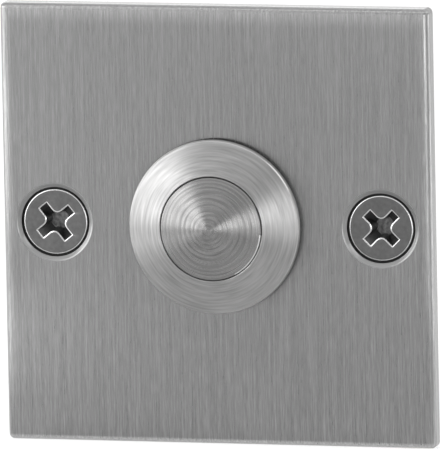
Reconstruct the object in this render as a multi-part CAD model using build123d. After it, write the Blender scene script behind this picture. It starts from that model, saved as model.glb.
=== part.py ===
from build123d import *
from math import cos, radians, sin, sqrt, tan
import os

# Millimetres: +X right, +Z up, the front faces -Y, the origin is the centre of the plate's wall face

# Face plate
plate_side = 50.0
plate_thickness = 2.0
plate_edge_round = 0.5
plate_corner_extra = 0.15
plate_hole_clearance = 0.1
spot_face_depth = 0.4
spot_face_margin = 1.0

# Fixing screws
screw_edge_distance = 6.0
screw_length = 20.0
screw_tip_length = 4.0
screw_core_diameter = 2.8
screw_head_diameter = 7.5
screw_head_land = 0.25
screw_head_bevel = 0.12
screw_hole_diameter = 5.0
countersink_angle = 90.0
countersink_margin = 0.7
recess_span = 4.6
recess_arm_width = 1.08
recess_corner_cut = 0.4
recess_depth = 2.0
recess_foot_span = 2.1
left_screw_turn = 38.5
right_screw_turn = 45.0

# Bezel body
barrel_diameter = 16.0
barrel_wall = 2.0
barrel_shoulder_end = 0.3
flange_overhang = 1.9
bezel_rim_height = 1.4
bezel_slope = 20.0
bezel_rim_bevel = 0.2
bezel_lip_bevel = 0.1
thread_depth = 0.55
thread_pitch = 1.5
thread_root_share = 0.84
thread_sink = 0.05
rear_wall = 0.95
barrel_end_bevel = 0.4
web_thickness = 2.0

# Push cap and its return
cap_gap = 0.15
cap_slope = 12.4
cap_tip_round = 6.0
cap_skirt = 2.8
cap_edge_bevel = 0.1
cap_travel = 1.5
cap_foot_margin = 0.3
stem_diameter = 4.0
stem_land = 0.4
guide_clearance = 0.05
spigot_diameter = 1.6
spigot_length = 2.5
spring_wire = 0.5
spring_wire_sides = 4
spring_mean_diameter = 7.9
spring_turns = 2.5
spring_pocket_depth = 2.0
spring_pocket_clearance = 0.2
clip_thickness = 0.6
clip_groove_depth = 0.5
clip_rim_gap = 0.15
clip_rim_width = 1.2
clip_prong_width = 1.2

# Panel seal
panel_seal_width = 1.1
panel_seal_height = 0.9
panel_seal_margin = 0.1

# Nut and lock washer
nut_wall = 1.5
nut_thickness = 3.0
nut_bevel = 0.5
washer_thickness = 0.8
washer_rim = 0.9
washer_tooth_count = 12
washer_tooth_length = 1.1
washer_slot_width = 1.2

# Contact set
collar_diameter = 6.0
collar_thickness = 1.0
neck_diameter = 3.0
carrier_head_diameter = 3.8
carrier_head_length = 0.7
carrier_slit = 0.5
contact_wire = 0.3
contact_spring_diameter = 4.0
contact_spring_length = 2.8
contact_spring_turns = 2.5
bridge_thickness = 0.5
bridge_hub_margin = 1.1
bridge_arm_width = 2.4
bridge_clearance = 0.08
tip_height = 0.2
bridge_give = 0.5

# Base and terminals
base_plug_length = 5.4
base_block_length = 2.4
base_fence_height = 2.2
base_fence_wall = 0.8
base_rib = 1.5
base_block_margin = 0.25
base_relief_clearance = 0.25
wire_entry_width = 3.6
terminal_spacing_ratio = 0.5
contact_end_diameter = 2.2
contact_end_height = 0.6
contact_end_depth = 1.5
stud_diameter = 3.2
stud_collar_diameter = 4.2
stud_collar_thickness = 0.5
stud_hole_depth = 5.0
terminal_core_diameter = 2.0
terminal_shank_length = 4.2
terminal_head_diameter = 4.0
terminal_head_height = 1.4
terminal_slot_width = 0.7
terminal_slot_depth = 0.7
left_terminal_turn = 25.0
right_terminal_turn = -40.0
clamp_side = 4.1
clamp_thickness = 0.6
clamp_corner = 0.5
clamp_hole_clearance = 0.25

# Fits
seat_clearance = 0.02
slip_clearance = 0.05

# How far a cut runs past the face that it opens
cut_past = 1.0

# Levels along Y, from the front to the back
front_plane = -plate_thickness
spot_plane = -spot_face_depth
washer_rear = spot_plane + washer_thickness
nut_rear = washer_rear + nut_thickness
barrel_r = barrel_diameter / 2
core_r = barrel_r - thread_depth
cap_bore_r = barrel_r - barrel_wall
cavity_r = core_r - rear_wall
bezel_r = barrel_r + flange_overhang
rim_plane = front_plane - bezel_rim_height
lip_plane = rim_plane - (bezel_r - cap_bore_r) * tan(radians(bezel_slope))
shoulder_end = spot_plane - barrel_shoulder_end
cap_r = cap_bore_r - cap_gap
cap_tip_r = cap_tip_round * sin(radians(cap_slope))
cap_tip_rise = cap_tip_round * (1 - cos(radians(cap_slope)))
cap_tip_plane = lip_plane - (cap_r - cap_tip_r) * tan(radians(cap_slope))
cap_apex = cap_tip_plane - cap_tip_rise
cap_foot = lip_plane + cap_skirt
web_front = cap_foot + cap_travel + cap_foot_margin
web_rear = web_front + web_thickness
clip_rear = web_rear + clip_thickness
stem_r = stem_diameter / 2
stem_end = clip_rear + stem_land
spigot_end = stem_end + spigot_length
collar_rear = stem_end + collar_thickness
bridge_front = collar_rear + contact_spring_length
bridge_rear = bridge_front + bridge_thickness
contact_plane = bridge_rear + tip_height + cap_travel - bridge_give
base_front = contact_plane + contact_end_height
barrel_end = base_front + base_plug_length
base_floor = barrel_end + base_block_length
base_rear = base_floor + base_fence_height
collar_face = base_floor + stud_collar_thickness
clamp_rear = collar_face + clamp_thickness
nut_corner_r = (barrel_diameter + 2 * nut_wall) / sqrt(3)
spot_face_r = nut_corner_r + spot_face_margin
block_r = core_r - base_block_margin
terminal_spacing = 2 * block_r * terminal_spacing_ratio


def turned(points):
    """Turn a closed outline of (radius, y) points about the Y axis."""
    return revolve(make_face(Polyline(*points, close=True)), Axis.Y)


def rod(radius, start, end):
    """A cylinder on the Y axis between two levels."""
    return turned([(0, start), (radius, start), (radius, end), (0, end)])


def eased(face, point, size):
    """Bevel the corner of a flat outline that lies at a point."""
    corner = face.vertices().sort_by_distance(Vector(*point))[0]
    return chamfer(corner, size)


def coil(mean_r, wire, turns, start, end):
    """A compression spring on the Y axis with its ends ground flat."""
    length = end - start
    path = Helix(length / turns, length, mean_r, center=(0, start, 0), direction=(0, 1, 0))
    section = Plane(origin=path @ 0, z_dir=path % 0) * RegularPolygon(wire / 2, spring_wire_sides)
    return sweep(section, path=path, is_frenet=True) & rod(mean_r + wire, start, end)


def ridge(root_r, depth, pitch, start, end):
    """A right-hand thread on the Y axis, sunk a little into the core that carries it."""
    half_root = thread_root_share * pitch / 2
    length = end - start - 2 * half_root
    path = Helix(pitch, length, root_r, center=(0, start + half_root, 0), direction=(0, 1, 0))
    outward = Vector((path @ 0).X, 0, (path @ 0).Z).normalized()
    section_plane = Plane(origin=path @ 0, x_dir=outward, z_dir=outward.cross(Vector(0, 1, 0)))
    outline = Polyline((-thread_sink, -half_root), (depth, 0), (-thread_sink, half_root), close=True)
    section = make_face(outline)
    return sweep(section_plane * section, path=path, is_frenet=True)


# Face plate with its countersunk holes and the spot face for the washer
screw_spacing = plate_side - 2 * screw_edge_distance
screw_head_r = screw_head_diameter / 2
sink_slope = tan(radians(countersink_angle / 2))
sink_r = screw_head_r + countersink_margin
screw_hole_r = screw_hole_diameter / 2
sink_end = front_plane + (sink_r - screw_hole_r) / sink_slope
sink_outline = [
    (0, front_plane - cut_past),
    (sink_r + cut_past * sink_slope, front_plane - cut_past),
    (screw_hole_r, sink_end),
    (screw_hole_r, cut_past),
    (0, cut_past),
]
face_plate = Pos(0, front_plane / 2, 0) * Box(plate_side, plate_thickness, plate_side)
face_plate = fillet(face_plate.edges().filter_by(Axis.Y), plate_edge_round + plate_corner_extra)
face_plate = fillet(face_plate.faces().sort_by(Axis.Y)[0].edges(), plate_edge_round)
face_plate -= rod(barrel_r + plate_hole_clearance, front_plane - cut_past, cut_past)
face_plate -= rod(spot_face_r, spot_plane, cut_past)
for side in (-1, 1):
    face_plate -= Pos(side * screw_spacing / 2, 0, 0) * turned(sink_outline)

# Fixing screws: the cone of the head lies in the countersink, and two tapered wings cut the cross recess
screw_core_r = screw_core_diameter / 2
cone_start = front_plane + (countersink_margin - seat_clearance) / sink_slope
head_top = cone_start - screw_head_land
cone_end = cone_start + (screw_head_r - screw_core_r) / sink_slope
screw_end = head_top + screw_length
screw_outline = [
    (0, head_top),
    (screw_head_r - screw_head_bevel, head_top),
    (screw_head_r, head_top + screw_head_bevel),
    (screw_head_r, cone_start),
    (screw_core_r, cone_end),
    (screw_core_r, screw_end - screw_tip_length),
    (0, screw_end),
]
recess_wing = make_face(Polyline(
    (-recess_span / 2, head_top),
    (recess_span / 2, head_top),
    (recess_foot_span / 2, head_top + recess_depth),
    (-recess_foot_span / 2, head_top + recess_depth),
    close=True,
))
recess = extrude(recess_wing, recess_arm_width / 2, both=True)
recess += Rot(0, 90, 0) * recess
inner_edges = recess.edges().filter_by(Axis.Y).sort_by_distance(Vector(0, head_top, 0))[:4]
recess = chamfer(inner_edges, recess_corner_cut)
blank_screw = turned(screw_outline) - recess
fixing_screw_left = Pos(-screw_spacing / 2, 0, 0) * Rot(0, -left_screw_turn, 0) * blank_screw
fixing_screw_right = Pos(screw_spacing / 2, 0, 0) * Rot(0, -right_screw_turn, 0) * blank_screw

# Bezel body: conical bezel, flange, barrel threaded behind the nut, guide web and rear cavity
panel_groove_r = barrel_r + panel_seal_width + panel_seal_margin
panel_groove_top = front_plane - panel_seal_height
guide_r = stem_r + guide_clearance
body_outline = [
    (cap_bore_r, lip_plane),
    (bezel_r, rim_plane),
    (bezel_r, front_plane),
    (panel_groove_r, front_plane),
    (panel_groove_r, panel_groove_top),
    (barrel_r, panel_groove_top),
    (barrel_r, shoulder_end),
    (core_r, shoulder_end),
    (core_r, barrel_end - barrel_end_bevel),
    (core_r - barrel_end_bevel, barrel_end),
    (cavity_r, barrel_end),
    (cavity_r, web_rear),
    (guide_r, web_rear),
    (guide_r, web_front),
    (cap_bore_r, web_front),
]
body_face = make_face(Polyline(*body_outline, close=True))
body_face = eased(body_face, (bezel_r, rim_plane), bezel_rim_bevel)
body_face = eased(body_face, (cap_bore_r, lip_plane), bezel_lip_bevel)
bezel_body = revolve(body_face, Axis.Y)
bezel_body += ridge(
    core_r, thread_depth, thread_pitch, nut_rear + slip_clearance, barrel_end - barrel_end_bevel
)

# Panel seal: a flat ring, squeezed to the height of its groove
panel_seal_bore_r = barrel_r + slip_clearance
panel_seal_r = panel_seal_bore_r + panel_seal_width
panel_seal = rod(panel_seal_r, panel_groove_top, front_plane)
panel_seal -= rod(panel_seal_bore_r, panel_groove_top, front_plane)

# Lock washer with teeth on the inside
washer_bore_r = barrel_r + slip_clearance
washer_r = washer_bore_r + washer_tooth_length + washer_rim
lock_washer = rod(washer_r, spot_plane, washer_rear) - rod(washer_bore_r, spot_plane, washer_rear)
tooth_slot = Box(2 * washer_tooth_length, 4 * washer_thickness, washer_slot_width)
tooth_slot = Pos(washer_bore_r, spot_plane, 0) * tooth_slot
for tooth in range(washer_tooth_count):
    lock_washer -= Rot(0, 360 * tooth / washer_tooth_count, 0) * tooth_slot

# Mounting nut with its rear corners bevelled
nut_flat_r = barrel_r + nut_wall
nut_plane = Plane(origin=(0, washer_rear, 0), x_dir=(1, 0, 0), z_dir=(0, 1, 0))
nut_crown = turned([
    (core_r + slip_clearance, washer_rear),
    (nut_corner_r, washer_rear),
    (nut_corner_r, nut_rear - nut_bevel),
    (nut_flat_r, nut_rear),
    (core_r + slip_clearance, nut_rear),
])
nut_hexagon = RegularPolygon(nut_flat_r, 6, major_radius=False)
mounting_nut = extrude(nut_plane * nut_hexagon, nut_thickness) & nut_crown

# Push cap: low cone with a rounded tip, spring pocket, stem with the clip groove, and the spigot for the carrier
spring_mean_r = spring_mean_diameter / 2
pocket_inner = spring_mean_r - spring_wire / 2 - spring_pocket_clearance
pocket_outer = spring_mean_r + spring_wire / 2 + spring_pocket_clearance
pocket_top = cap_foot - spring_pocket_depth
groove_r = stem_r - clip_groove_depth
spigot_r = spigot_diameter / 2
half_slope = radians(cap_slope) / 2
cap_tip = ThreePointArc(
    (0, cap_apex),
    (cap_tip_round * sin(half_slope), cap_apex + cap_tip_round * (1 - cos(half_slope))),
    (cap_tip_r, cap_tip_plane),
)
cap_outline = Polyline(
    (cap_tip_r, cap_tip_plane),
    (cap_r, lip_plane),
    (cap_r, cap_foot),
    (pocket_outer, cap_foot),
    (pocket_outer, pocket_top),
    (pocket_inner, pocket_top),
    (pocket_inner, cap_foot),
    (stem_r, cap_foot),
    (stem_r, web_rear),
    (groove_r, web_rear),
    (groove_r, clip_rear + seat_clearance),
    (stem_r, clip_rear + seat_clearance),
    (stem_r, stem_end),
    (spigot_r, stem_end),
    (spigot_r, spigot_end),
    (0, spigot_end),
    (0, cap_apex),
)
cap_face = eased(make_face(cap_tip + cap_outline), (cap_r, lip_plane), cap_edge_bevel)
push_cap = revolve(cap_face, Axis.Y)

# Springs
return_spring = coil(
    spring_mean_r, spring_wire, spring_turns, pocket_top + seat_clearance, web_front - seat_clearance
)
contact_spring = coil(
    contact_spring_diameter / 2,
    contact_wire,
    contact_spring_turns,
    collar_rear + seat_clearance,
    bridge_front - seat_clearance,
)

# Retaining clip: an open ring with three prongs in the groove
clip_inner = stem_r + clip_rim_gap
clip_outer = clip_inner + clip_rim_width
clip_middle = (web_rear + clip_rear) / 2
prong_reach = clip_inner + clip_rim_width / 2 - groove_r - slip_clearance
prong_middle = groove_r + slip_clearance + prong_reach / 2
prong = Pos(prong_middle, clip_middle, 0) * Box(prong_reach, clip_thickness, clip_prong_width)
retaining_clip = rod(clip_outer, web_rear, clip_rear) - rod(clip_inner, web_rear, clip_rear)
retaining_clip -= Pos(clip_outer, clip_middle, 0) * Box(2 * clip_outer, clip_thickness * 2, 2 * groove_r)
for turn in (90, 180, 270):
    retaining_clip += Rot(0, turn, 0) * prong
retaining_clip -= rod(groove_r + slip_clearance, web_rear, clip_rear)

# Contact carrier: collar, neck and a slit head that holds the bridge
collar_r = collar_diameter / 2
neck_r = neck_diameter / 2
carrier_head_r = carrier_head_diameter / 2
carrier_hole_r = spigot_r + seat_clearance
carrier_hole_end = spigot_end + seat_clearance
carrier_end = bridge_rear + carrier_head_length
contact_carrier = turned([
    (carrier_hole_r, stem_end),
    (collar_r, stem_end),
    (collar_r, collar_rear),
    (neck_r, collar_rear),
    (neck_r, bridge_rear),
    (carrier_head_r, bridge_rear),
    (neck_r, carrier_end),
    (0, carrier_end),
    (0, carrier_hole_end),
    (carrier_hole_r, carrier_hole_end),
])
slit_front = (carrier_hole_end + bridge_front) / 2
slit_length = 2 * (carrier_end - slit_front)
contact_carrier -= Pos(0, carrier_end, 0) * Box(carrier_slit, slit_length, 2 * carrier_head_diameter)

# Contact bridge: a hub on the neck and two arms with raised contact tips
terminal_x = terminal_spacing / 2
contact_end_r = contact_end_diameter / 2
bridge_plane = Plane(origin=(0, bridge_front, 0), x_dir=(1, 0, 0), z_dir=(0, 1, 0))
bridge_bore_r = neck_r + bridge_clearance
bridge_outline = Circle(bridge_bore_r + bridge_hub_margin)
bridge_outline += SlotCenterToCenter(terminal_spacing, bridge_arm_width)
contact_bridge = extrude(bridge_plane * bridge_outline, bridge_thickness)
contact_tip = rod(contact_end_r, bridge_front, bridge_rear + tip_height)
for side in (-1, 1):
    contact_bridge += Pos(side * terminal_x, 0, 0) * contact_tip
contact_bridge -= rod(bridge_bore_r, bridge_front - cut_past, bridge_rear + cut_past)

# Insulating base: plug, rear block, fence with wire entries, and a rib between the terminals
stud_r = stud_diameter / 2
stud_step = base_front + contact_end_depth
plug_r = cavity_r - slip_clearance
insulating_base = turned([
    (0, base_front),
    (plug_r, base_front),
    (plug_r, barrel_end),
    (block_r, barrel_end),
    (block_r, base_rear),
    (0, base_rear),
])
well = rod(block_r - base_fence_wall, base_floor, base_rear + cut_past)
well += Pos(0, base_floor + base_fence_height, 0) * Box(4 * block_r, 2 * base_fence_height, wire_entry_width)
rib = Pos(0, base_floor, 0) * Box(base_rib, 4 * base_fence_height, 4 * block_r)
insulating_base -= well - rib
relief_end = carrier_end + cap_travel + base_relief_clearance
insulating_base -= rod(carrier_head_r + base_relief_clearance, base_front, relief_end)
stud_hole = rod(contact_end_r + seat_clearance, base_front - cut_past, base_rear)
stud_hole += rod(stud_r + seat_clearance, stud_step - seat_clearance, base_rear)
stud_hole &= rod(block_r, base_front - cut_past, base_floor)
for side in (-1, 1):
    insulating_base -= Pos(side * terminal_x, 0, 0) * stud_hole

# Terminal studs, wire clamps and terminal screws
terminal_core_r = terminal_core_diameter / 2
stud_hole_r = terminal_core_r + slip_clearance
blank_stud = turned([
    (0, contact_plane),
    (contact_end_r, contact_plane),
    (contact_end_r, stud_step),
    (stud_r, stud_step),
    (stud_r, base_floor),
    (stud_collar_diameter / 2, base_floor),
    (stud_collar_diameter / 2, collar_face),
    (stud_hole_r, collar_face),
    (stud_hole_r, collar_face - stud_hole_depth),
    (0, collar_face - stud_hole_depth),
])
blank_clamp = Pos(0, (collar_face + clamp_rear) / 2, 0) * Box(clamp_side, clamp_thickness, clamp_side)
blank_clamp = chamfer(blank_clamp.edges().filter_by(Axis.Y), clamp_corner)
blank_clamp -= rod(terminal_core_r + clamp_hole_clearance, collar_face - cut_past, clamp_rear + cut_past)
terminal_head_rear = clamp_rear + terminal_head_height
blank_terminal_screw = rod(terminal_core_r, clamp_rear - terminal_shank_length, clamp_rear)
blank_terminal_screw += rod(terminal_head_diameter / 2, clamp_rear, terminal_head_rear)
blank_terminal_screw -= Pos(0, terminal_head_rear, 0) * Box(
    2 * terminal_head_diameter, 2 * terminal_slot_depth, terminal_slot_width
)

# One STEP file per node
left_terminal = Pos(-terminal_x, 0, 0)
right_terminal = Pos(terminal_x, 0, 0)
nodes = {
    "face_plate": face_plate,
    "fixing_screw_left": fixing_screw_left,
    "fixing_screw_right": fixing_screw_right,
    "bezel_body": bezel_body,
    "panel_seal": panel_seal,
    "lock_washer": lock_washer,
    "mounting_nut": mounting_nut,
    "push_cap": push_cap,
    "return_spring": return_spring,
    "retaining_clip": retaining_clip,
    "contact_carrier": contact_carrier,
    "contact_spring": contact_spring,
    "contact_bridge": contact_bridge,
    "insulating_base": insulating_base,
    "terminal_stud_left": left_terminal * blank_stud,
    "terminal_stud_right": right_terminal * blank_stud,
    "wire_clamp_left": left_terminal * blank_clamp,
    "wire_clamp_right": right_terminal * blank_clamp,
    "terminal_screw_left": left_terminal * Rot(0, left_terminal_turn, 0) * blank_terminal_screw,
    "terminal_screw_right": right_terminal * Rot(0, right_terminal_turn, 0) * blank_terminal_screw,
}
os.makedirs("parts", exist_ok=True)
for name, shape in nodes.items():
    export_step(shape, f"parts/{name}.step")
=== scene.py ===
import logging
import math
from collections.abc import Iterable, Mapping, Sequence
from dataclasses import dataclass
from enum import Enum
from typing import Protocol

import bmesh
import bpy
from bmesh.types import BMEdge, BMesh, BMFace, BMVert
from bpy.types import Material, Node, NodeSocket, NodeTree, Object
from mathutils import Matrix, Vector


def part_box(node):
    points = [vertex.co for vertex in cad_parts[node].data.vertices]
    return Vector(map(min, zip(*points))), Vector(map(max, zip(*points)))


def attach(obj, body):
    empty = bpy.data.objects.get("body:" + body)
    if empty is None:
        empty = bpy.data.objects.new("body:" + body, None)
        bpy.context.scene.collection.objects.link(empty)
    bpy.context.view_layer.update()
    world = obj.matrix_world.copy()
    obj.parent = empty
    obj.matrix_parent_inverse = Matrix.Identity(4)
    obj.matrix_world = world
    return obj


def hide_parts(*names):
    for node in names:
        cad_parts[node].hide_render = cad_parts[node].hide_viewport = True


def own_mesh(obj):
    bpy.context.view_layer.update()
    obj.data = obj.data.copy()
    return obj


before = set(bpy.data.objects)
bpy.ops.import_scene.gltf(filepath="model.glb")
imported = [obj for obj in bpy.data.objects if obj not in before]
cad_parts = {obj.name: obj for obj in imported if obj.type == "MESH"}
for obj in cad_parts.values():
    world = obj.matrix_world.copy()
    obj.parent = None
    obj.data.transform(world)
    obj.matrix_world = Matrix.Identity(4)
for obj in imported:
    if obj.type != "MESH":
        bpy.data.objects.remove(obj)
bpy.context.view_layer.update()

# A doorbell push: a square brushed plate, two countersunk screws, a turned bezel with its coned button,
# and the nut, spring contacts and wire terminals behind. Sizes are in millimetres, along the frame's axes:
# +X right, +Z up, the front faces -Y. The pieces are scaled to metres when they are finished.

MM = 0.001
WELD = 1e-4
FLAT_ANGLE = math.radians(1)
SHARP_ANGLE = math.radians(32)
FULL_TURN = 2 * math.pi
AXIS = Vector((0, 1, 0))
FRONT = Vector((0, -1, 0))

# Faces round the bezel and the button, and round a screw head and a hole
FINE_STEPS = 192
ROUND_STEPS = 96

# Faces across the rounding of an outline's corner, and across an eased edge
CORNER_STEPS = 4
EASE_STEPS = 2

# Half of a thread's width at its foot and at its top, and the length of its run-out, in pitches
THREAD_FOOT = 0.42
THREAD_TOP = 0.06
THREAD_RUN_OUT = 0.5

# The range that most of a noise lies in, and the share by which its marks change the roughness
NOISE_DARK = 0.25
NOISE_LIGHT = 0.75
GLOSS_SWING = 0.12

log = logging.getLogger("doorbell_push")

Colour = tuple[float, float, float]
Loop = list[BMEdge]
Value = float | NodeSocket


class Body(str, Enum):
    """The bodies that the pieces ride on."""

    MOUNTING = "mounting"
    BUTTON = "button"
    BRIDGE = "bridge"


class Slot(str, Enum):
    """The record's material slots, one held by each finish."""

    PLATE = "plate_steel"
    TURNED = "turned_steel"
    SCREW = "screw_steel"
    PLATED = "plated_steel"
    SPRING = "spring_steel"
    SEAL = "seal_rubber"
    BASE = "base_plastic"
    CARRIER = "carrier_plastic"
    BRASS = "contact_brass"


class Side(Enum):
    """The two sides of the plate, with the place along X and the turn in degrees of their fixing screw."""

    LEFT = ("left", -19.0, 38.5)
    RIGHT = ("right", 19.0, 45.0)

    def __init__(self, label: str, place: float, screw_turn: float) -> None:
        """Keep the side's name and its screw's place and turn.

        Args:
            label: The side's name.
            place: The screw's place along X.
            screw_turn: The turn of the screw's recess, in degrees.
        """
        self.label = label
        self.place = place
        self.screw_turn = screw_turn


class Part(Protocol):
    """Anything that builds a piece of the object."""

    def build(self) -> Object:
        """Model the piece and dress it."""


# Shading


class Shading:
    """A node tree that is being laid out."""

    def __init__(self, tree: NodeTree) -> None:
        """Clear the tree and keep it."""
        tree.nodes.clear()
        self.tree = tree

    def add(self, kind: str, inputs: Mapping[str | int, object] | None = None, **settings: object) -> Node:
        """Add one node.

        Args:
            kind: The node's type, without its first word.
            inputs: What goes to each input: a constant, or another node's output.
            settings: The node's own properties.

        Returns:
            The new node.
        """
        node = self.tree.nodes.new(f"ShaderNode{kind}")
        for name, value in settings.items():
            setattr(node, name, value)
        for key, value in (inputs or {}).items():
            if isinstance(value, NodeSocket):
                self.tree.links.new(value, node.inputs[key])
            else:
                node.inputs[key].default_value = value
        return node

    def math(self, operation: str, *values: object) -> NodeSocket:
        """Give the result of a Math node."""
        return self.add("Math", dict(enumerate(values)), operation=operation).outputs[0]

    def vector(self, operation: str, *values: object) -> NodeSocket:
        """Give the vector that a Vector Math node makes."""
        return self.add("VectorMath", dict(enumerate(values)), operation=operation).outputs["Vector"]

    def place(self) -> NodeSocket:
        """Give the place on the object, in metres."""
        return self.add("TexCoord").outputs["Object"]

    def stretched(self, size: Sequence[float]) -> NodeSocket:
        """Give the place on the object, counted in steps of a size in millimetres."""
        scale = [1 / (side * MM) for side in size]
        return self.add("Mapping", {"Vector": self.place(), "Scale": scale}).outputs[0]

    def noise(self, vector: NodeSocket, detail: float) -> NodeSocket:
        """Give a noise from 0 to 1 with features about one unit of the vector wide."""
        return self.add("TexNoise", {"Vector": vector, "Scale": 1.0, "Detail": detail}).outputs[0]

    def ranged(self, value: NodeSocket, start: float, end: float, low: Value, high: Value) -> NodeSocket:
        """Give a number that runs from low to high, and no further, as a value goes from start to end."""
        limits = {"Value": value, "From Min": start, "From Max": end, "To Min": low, "To Max": high}
        return self.add("MapRange", limits).outputs[0]

    def mix(self, first: NodeSocket, second: NodeSocket, share: float) -> NodeSocket:
        """Give two patterns mixed, with a share of the second."""
        return self.math("MULTIPLY_ADD", first, 1 - share, self.math("MULTIPLY", second, share))

    def shade(self, colour: Colour, share: NodeSocket) -> NodeSocket:
        """Give a colour multiplied by a number."""
        return self.add("VectorMath", {0: colour, "Scale": share}, operation="SCALE").outputs["Vector"]

    def across(self, along: NodeSocket | tuple[float, float, float]) -> NodeSocket:
        """Give the direction on the surface that lies across the marks."""
        normal = self.add("NewGeometry").outputs["Normal"]
        return self.vector("NORMALIZE", self.vector("CROSS_PRODUCT", normal, along))

    def output(self, shader: Node) -> None:
        """Send a shader to the surface."""
        self.add("OutputMaterial", {"Surface": shader.outputs[0]})


@dataclass(frozen=True)
class Finish:
    """What every finish has.

    Attributes:
        name: The material's name.
        slot: The record's slot; not used.
        colour: The base colour, linear.
        roughness: The mean roughness.
        contrast: The share by which marks lighten or darken the colour.
        relief: The height of the marks.
    """

    name: str
    slot: Slot
    colour: Colour
    roughness: float
    contrast: float
    relief: float

    def material(self) -> Material:
        """Make the material on the first call, and keep to it after that.

        Returns:
            The material.
        """
        made = bpy.data.materials.get(self.name)
        if made is None:
            made = bpy.data.materials.new(self.name)
            made.use_nodes = True
            self.lay_out(Shading(made.node_tree))
        return made

    def lay_out(self, nodes: Shading) -> None:
        """Fill the material's node tree."""
        raise NotImplementedError

    def surface(self, nodes: Shading, mark: NodeSocket, **extra: object) -> None:
        """Add the shader that all finishes share.

        Args:
            nodes: The tree.
            mark: The pattern of marks, from 0 to 1.
            extra: More inputs of the shader, by name.
        """
        limits = (NOISE_DARK, NOISE_LIGHT)
        bump = nodes.add("Bump", {"Height": mark, "Distance": self.relief * MM, "Strength": 1.0})
        tone = nodes.ranged(mark, *limits, 1 - self.contrast, 1 + self.contrast)
        dull, bright = self.roughness * (1 + GLOSS_SWING), self.roughness * (1 - GLOSS_SWING)
        inputs = {
            "Base Color": nodes.shade(self.colour, tone),
            "Roughness": nodes.ranged(mark, *limits, dull, bright),
            "Normal": bump.outputs[0],
        }
        nodes.output(nodes.add("BsdfPrincipled", inputs | extra))


@dataclass(frozen=True)
class BrushedSteel(Finish):
    """Steel that a belt has brushed along Z.

    Attributes:
        spread: The anisotropy: how much wider the gloss is across the marks than along them.
        mark_width: The width of a fine mark.
        mark_length: The length of a fine mark.
        long_width: The width of a long mark, in widths of a fine one.
        long_length: The length of a long mark, in lengths of a fine one.
        long_share: The share of the long marks in the pattern.
        detail: The number of finer layers in the marks.
        lean: How far the brushing leans out of the upright, as a slope.
    """

    spread: float
    mark_width: float
    mark_length: float
    long_width: float = 1.4
    long_length: float = 5.0
    long_share: float = 0.5
    detail: float = 3.0
    lean: float = 0.02

    def lay_out(self, nodes: Shading) -> None:
        """Draw short fine marks over long ones, with the gloss spread across them.

        Args:
            nodes: The tree.
        """
        fine = self.scratches(nodes, self.mark_width, self.mark_length)
        long = self.scratches(nodes, self.long_width * self.mark_width, self.long_length * self.mark_length)
        mark = nodes.mix(fine, long, self.long_share)
        across = nodes.across((self.lean, 0.0, 1.0))
        self.surface(nodes, mark, Metallic=1.0, Anisotropic=self.spread, Tangent=across)

    def scratches(self, nodes: Shading, width: float, length: float) -> NodeSocket:
        """Give a noise drawn out along Z."""
        return nodes.noise(nodes.stretched((width, width, length)), self.detail)


@dataclass(frozen=True)
class TurnedSteel(Finish):
    """Steel that a lathe has faced, with rings about the Y axis.

    Attributes:
        spread: The anisotropy.
        ring_width: The width of a fine ring.
        arc_turns: How many times a ring changes on its way round.
        feed: The spacing of the tool's feed marks.
        feed_share: The share of the feed marks in the pattern.
        centre: The place of the axis along X.
        broad_width: The width of a broad ring, in widths of a fine one.
        broad_share: The share of the broad rings among the chance rings.
        drift: How far the feed marks stray from an even spacing, in radians.
        drift_detail: The number of finer layers in the straying.
        detail: The number of finer layers in the rings.
    """

    spread: float
    ring_width: float
    arc_turns: float
    feed: float
    feed_share: float
    centre: float = 0.0
    broad_width: float = 2.2
    broad_share: float = 0.25
    drift: float = 5.0
    drift_detail: float = 1.0
    detail: float = 5.0

    def lay_out(self, nodes: Shading) -> None:
        """Draw fine and broad rings and the feed marks, with the gloss spread across them.

        Args:
            nodes: The tree.
        """
        shift = {"Vector": nodes.place(), "Location": (-self.centre * MM, 0.0, 0.0)}
        x, y, z = nodes.add("SeparateXYZ", {0: nodes.add("Mapping", shift).outputs[0]}).outputs
        radius = nodes.math("SQRT", nodes.math("ADD", *(nodes.math("POWER", side, 2.0) for side in (x, z))))
        travel = nodes.math("SUBTRACT", radius, y)
        ways = [nodes.math("DIVIDE", side, radius) for side in (x, z)]
        fine = self.rings(nodes, travel, ways, self.ring_width)
        broad = self.rings(nodes, travel, ways, self.broad_width * self.ring_width)
        chance = nodes.mix(fine, broad, self.broad_share)
        mark = nodes.mix(chance, self.feed_marks(nodes, travel), self.feed_share)
        along = nodes.add("CombineXYZ", {"X": z, "Z": nodes.math("MULTIPLY", x, -1.0)}).outputs[0]
        across = nodes.across(along)
        self.surface(nodes, mark, Metallic=1.0, Anisotropic=self.spread, Tangent=across)

    def feed_marks(self, nodes: Shading, travel: NodeSocket) -> NodeSocket:
        """Draw the crests that the tool's feed leaves.

        Args:
            nodes: The tree.
            travel: The way along the outline.

        Returns:
            The pattern, from 0 to 1.
        """
        wander = nodes.math("MULTIPLY", travel, 1 / (2 * self.feed * MM))
        stray = nodes.noise(nodes.add("CombineXYZ", {"X": wander}).outputs[0], self.drift_detail)
        even = nodes.math("MULTIPLY", travel, math.pi / (self.feed * MM))
        phase = nodes.math("MULTIPLY_ADD", stray, self.drift, even)
        return nodes.math("ABSOLUTE", nodes.math("SINE", phase))

    def rings(
        self, nodes: Shading, travel: NodeSocket, ways: Sequence[NodeSocket], width: float
    ) -> NodeSocket:
        """Draw chance rings that change slowly on their way round.

        Args:
            nodes: The tree.
            travel: The way along the outline.
            ways: The direction from the axis, along X and along Z.
            width: The width of a ring.

        Returns:
            The noise.
        """
        parts = {"X": nodes.math("MULTIPLY", travel, 1 / (width * MM))}
        for name, way in zip("YZ", ways):
            parts[name] = nodes.math("MULTIPLY", way, self.arc_turns)
        return nodes.noise(nodes.add("CombineXYZ", parts).outputs[0], self.detail)


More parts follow.
